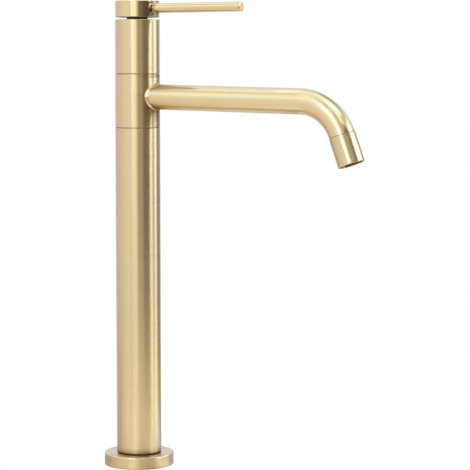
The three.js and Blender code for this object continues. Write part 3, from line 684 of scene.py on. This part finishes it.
class Surround:
    """Light by direction round the object, for the studio and for the paper floor."""

    def __init__(self, tree):
        self.tree = tree

    def add(self, kind, **settings):
        n = self.tree.nodes.new(kind)
        for k, v in settings.items():
            setattr(n, k, v)
        return n

    def math(self, op, a, b=None):
        n = self.add("ShaderNodeMath", operation=op)
        for i, v in enumerate((a, b)):
            if v is None:
                continue
            if hasattr(v, "links"):
                self.tree.links.new(v, n.inputs[i])
            else:
                n.inputs[i].default_value = v
        return n.outputs[0]

    def dot(self, source, vec):
        n = self.add("ShaderNodeVectorMath", operation="DOT_PRODUCT")
        self.tree.links.new(source, n.inputs[0])
        n.inputs[1].default_value = vec
        return n.outputs["Value"]

    def turn(self, source):
        """0 to 1 round the object; 0.5 is the front."""
        t = self.math("ARCTAN2", self.dot(source, RIGHT), self.dot(source, FRONT))
        return self.math("ADD", self.math("DIVIDE", t, TAU), 0.5)

    def ramp(self, where, panels, top=10.0):
        """panels are (degrees to the right of the front, brightness, tint)."""
        n = self.add("ShaderNodeValToRGB")
        n.color_ramp.interpolation = "LINEAR"
        stops = n.color_ramp.elements
        while len(stops) > 1:
            stops.remove(stops[-1])
        for i, (deg, level, tint) in enumerate(panels):
            e = stops[0] if i == 0 else stops.new(deg / 360 + 0.5)
            e.position = deg / 360 + 0.5
            e.color = tuple(level * STUDIO * c / top for c in tint) + (1,)
        self.tree.links.new(where, n.inputs[0])
        m = self.add("ShaderNodeVectorMath", operation="SCALE")
        self.tree.links.new(n.outputs[0], m.inputs[0])
        m.inputs["Scale"].default_value = top
        return m.outputs[0]

    def step(self, value, lo, hi):
        n = self.add("ShaderNodeMapRange", interpolation_type="SMOOTHSTEP")
        self.tree.links.new(value, n.inputs["Value"])
        n.inputs["From Min"].default_value = lo
        n.inputs["From Max"].default_value = hi
        return n.outputs["Result"]

    def mix(self, fac, a, b):
        n = self.add("ShaderNodeMix", data_type="RGBA")
        self.tree.links.new(fac, n.inputs["Factor"])
        self.tree.links.new(a, n.inputs[6])
        self.tree.links.new(b, n.inputs[7])
        return n.outputs[2]


def disc_piece(name, inner, radii, z):
    profile = [Vector((inner, z))] + [Vector((r, z)) for r in radii]
    return lathe(name, profile, 96, closed=False)


# the paper that the picture shows, and under it the same paper as the metal sees it
paper = disc_piece("floor_paper", 17.5, (60, 200, 600), 0.0)
pm = bpy.data.materials.new("floor_paper")
pm.use_nodes = True
pm.node_tree.nodes.clear()
pe = pm.node_tree.nodes.new("ShaderNodeEmission")
pe.inputs["Color"].default_value = (1, 1, 1, 1)
pe.inputs["Strength"].default_value = 1.0
po = pm.node_tree.nodes.new("ShaderNodeOutputMaterial")
pm.node_tree.links.new(pe.outputs[0], po.inputs["Surface"])
paper.data.materials.append(pm)
paper.visible_glossy = False
paper.visible_diffuse = False
paper.visible_shadow = False
bounce = disc_piece("floor_bounce", 17.5, (60, 200, FLOOR_R), -0.05)
bm_ = bpy.data.materials.new("floor_bounce")
bm_.use_nodes = True
bm_.node_tree.nodes.clear()
fl = Surround(bm_.node_tree)
where = fl.turn(fl.add("ShaderNodeTexCoord").outputs["Object"])
place_ = fl.add("ShaderNodeVectorMath", operation="LENGTH")
fl.tree.links.new(fl.add("ShaderNodeTexCoord").outputs["Object"], place_.inputs[0])
reach = place_.outputs["Value"]
colour = fl.mix(fl.step(reach, 0.055, 0.110), fl.ramp(where, NEAR_PANELS), fl.ramp(where, MIDDLE_PANELS))
colour = fl.mix(fl.step(reach, 0.170, 0.300), colour, fl.ramp(where, FLOOR_PANELS))
be = fl.add("ShaderNodeEmission")
fl.tree.links.new(colour, be.inputs["Color"])
bo = fl.add("ShaderNodeOutputMaterial")
fl.tree.links.new(be.outputs[0], bo.inputs["Surface"])
bounce.data.materials.append(bm_)
bounce.visible_camera = False

# ---- studio surround: soft panels by direction round the object
world = bpy.data.worlds.new("studio")
scene.world = world
world.use_nodes = True
world.node_tree.nodes.clear()
w = Surround(world.node_tree)
coord = w.add("ShaderNodeTexCoord").outputs["Generated"]
where = w.turn(coord)
height = w.dot(coord, (0, 0, 1))
light = w.mix(w.step(height, -0.07, 0.15), w.ramp(where, LOW_PANELS), w.ramp(where, HIGH_PANELS))
strip = w.math("MULTIPLY", w.step(height, -0.018, 0.002), w.step(height, 0.135, 0.105))
light = w.mix(strip, light, w.ramp(where, STRIP_PANELS))
light = w.mix(w.step(height, 0.17, 0.32), light, w.ramp(where, MID_PANELS))
light = w.mix(w.step(height, 0.56, 0.68), light, w.ramp(where, UPPER_PANELS))
light = w.mix(w.step(height, 0.76, 0.84), light, w.ramp(where, STEEP_PANELS))
light = w.mix(w.step(height, 0.88, 0.935), light, w.ramp(where, TOP_PANELS))
lit = w.add("ShaderNodeBackground")
w.tree.links.new(light, lit.inputs["Color"])
plain = w.add("ShaderNodeBackground")
plain.inputs["Color"].default_value = (1, 1, 1, 1)
pick = w.add("ShaderNodeMixShader")
w.tree.links.new(w.add("ShaderNodeLightPath").outputs["Is Camera Ray"], pick.inputs[0])
w.tree.links.new(lit.outputs[0], pick.inputs[1])
w.tree.links.new(plain.outputs[0], pick.inputs[2])
w.tree.links.new(pick.outputs[0], w.add("ShaderNodeOutputWorld").inputs["Surface"])

# ---------------------------------------------------------------- the camera
cam = bpy.data.cameras.new("camera")
cam.sensor_width = 36.0
cam.lens = 144.5
cam_obj = bpy.data.objects.new("camera", cam)
cam_obj.location = (0.8424, -1.2144, 0.3144)
cam_obj.rotation_mode = "QUATERNION"
cam_obj.rotation_quaternion = Vector((-0.52484, 0.84647, -0.08959)).to_track_quat("-Z", "Y")
scene.collection.objects.link(cam_obj)
scene.camera = cam_obj
